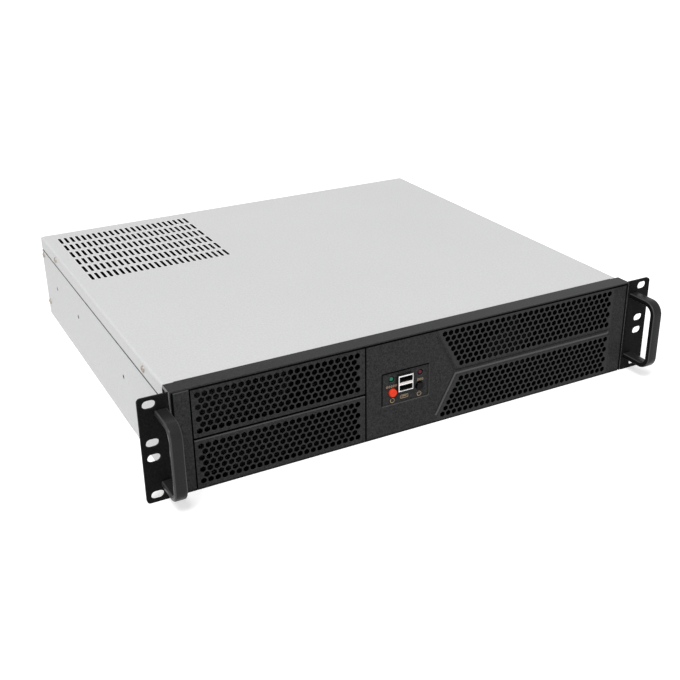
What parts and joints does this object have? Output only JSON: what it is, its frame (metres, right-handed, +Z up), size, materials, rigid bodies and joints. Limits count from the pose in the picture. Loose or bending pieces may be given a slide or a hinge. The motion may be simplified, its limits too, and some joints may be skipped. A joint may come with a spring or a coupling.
{
  "type": "empty rackmount server case",
  "caption": "Low steel rack case with a black mesh front, drive bay covers, front handles, a vented top cover and an open interior for a mainboard, drives and a supply.",
  "frame": {"origin": "centre of the bounding box's underside", "axes": "+X to the right seen from the front, +Y to the rear, +Z up"},
  "size_m": [0.4826, 0.432, 0.0881],
  "materials": {
    "case_grey": "fine-textured light grey powder coat",
    "fascia_black": "fine-textured black powder coat",
    "handle_black": "satin black coat",
    "plated_steel": "black zinc-plated sheet",
    "dark_screw": "bronze-grey plated screws",
    "bright_screw": "zinc-plated screws",
    "brass": "turned brass",
    "board_green": "green solder mask",
    "button_red": "glossy red moulding",
    "button_black": "glossy black moulding",
    "switch_black": "black moulding",
    "lamp_green": "clear green lens",
    "lamp_red": "dark red lens",
    "port_metal": "bright tinned steel",
    "port_plastic": "pale moulding",
    "fan_plastic": "black glass-filled moulding"
  },
  "bodies": {
    "case": {"board_screws": "bright_screw", "board_standoffs": "brass", "chassis_base": "case_grey", "control_board": "board_green", "control_plate": "fascia_black", "cover_bar": "plated_steel", "cover_screws": "dark_screw", "drive_bracket": "plated_steel", "drive_lamp": "lamp_red", "ear_screws": "dark_screw", "fan_frame": "fan_plastic", "fan_screws": "bright_screw", "floor_screws": "bright_screw", "front_frame": "fascia_black", "front_grille": "fascia_black", "handle_screws": "dark_screw", "lamp_spacers": "switch_black", "left_bay_side": "plated_steel", "left_ear": "fascia_black", "left_handle": "handle_black", "left_trim": "fascia_black", "lower_bay_cover": "fascia_black", "port_shell": "port_metal", "port_tongues": "port_plastic", "power_lamp": "lamp_green", "power_switch": "switch_black", "rear_panel": "case_grey", "rear_panel_screws": "dark_screw", "reset_switch": "switch_black", "right_bay_side": "plated_steel", "right_ear": "fascia_black", "right_handle": "handle_black", "slot_cover_1": "case_grey", "slot_cover_2": "case_grey", "slot_cover_3": "case_grey", "slot_cover_4": "case_grey", "slot_rail": "plated_steel", "slot_screws": "bright_screw", "supply_blank": "case_grey", "supply_stop": "plated_steel", "top_cover": "case_grey", "upper_bay_cover": "fascia_black"},
    "power_key": {"power_button": "button_black"},
    "reset_key": {"reset_button": "button_red"},
    "fan_wheel": {"fan_rotor": "fan_plastic"}
  },
  "joints": [
    {"name": "power_press", "type": "slide", "parent": "case", "child": "power_key", "axis": [0, 1, 0], "range_m": [0, 0.0015], "stiffness_N_per_m": 300, "springref_m": -0.0005},
    {"name": "reset_press", "type": "slide", "parent": "case", "child": "reset_key", "axis": [0, 1, 0], "range_m": [0, 0.0015], "stiffness_N_per_m": 300, "springref_m": -0.0005},
    {"name": "fan_spin", "type": "hinge", "parent": "case", "child": "fan_wheel", "pos_m": [0.092, -0.1555, 0.044], "axis": [0, 1, 0], "continuous": true}
  ]
}
